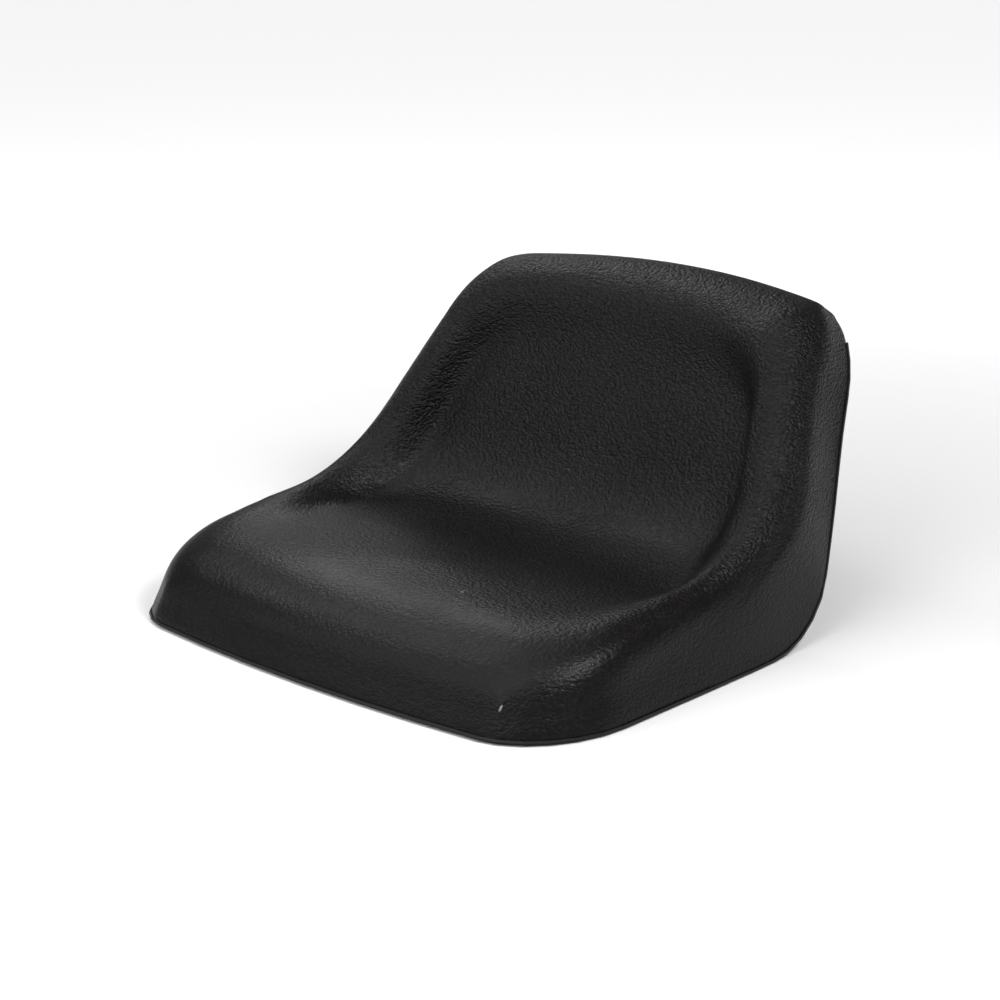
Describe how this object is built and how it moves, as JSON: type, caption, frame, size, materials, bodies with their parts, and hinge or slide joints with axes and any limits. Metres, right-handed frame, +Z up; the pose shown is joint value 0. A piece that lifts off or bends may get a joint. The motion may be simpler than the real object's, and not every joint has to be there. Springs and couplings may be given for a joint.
{
  "type": "low-back bucket seat",
  "caption": "Low-back bucket seat for a lawn tractor: padded vinyl cushion over foam on a pressed steel pan with bosses for bolting down.",
  "frame": {"origin": "middle of the footprint at the height of the surface that the seat rests on", "axes": "+Z up, the seat faces -Y, +X towards the sitter's left"},
  "size_m": [0.4838, 0.4804, 0.2676],
  "materials": {
    "black_vinyl": "fine leather grain, satin",
    "foam": "matt open-cell foam",
    "painted_steel": "satin black paint",
    "trim_plastic": "matt extruded strip",
    "zinc_steel": "zinc plated"
  },
  "bodies": {
    "root": {"vinyl_cover": "black_vinyl", "foam_cushion": "foam", "seat_pan": "painted_steel", "edge_trim": "trim_plastic", "weld_nut_front_left": "zinc_steel", "weld_nut_front_right": "zinc_steel", "weld_nut_rear_left": "zinc_steel", "weld_nut_rear_right": "zinc_steel"}
  },
  "joints": []
}
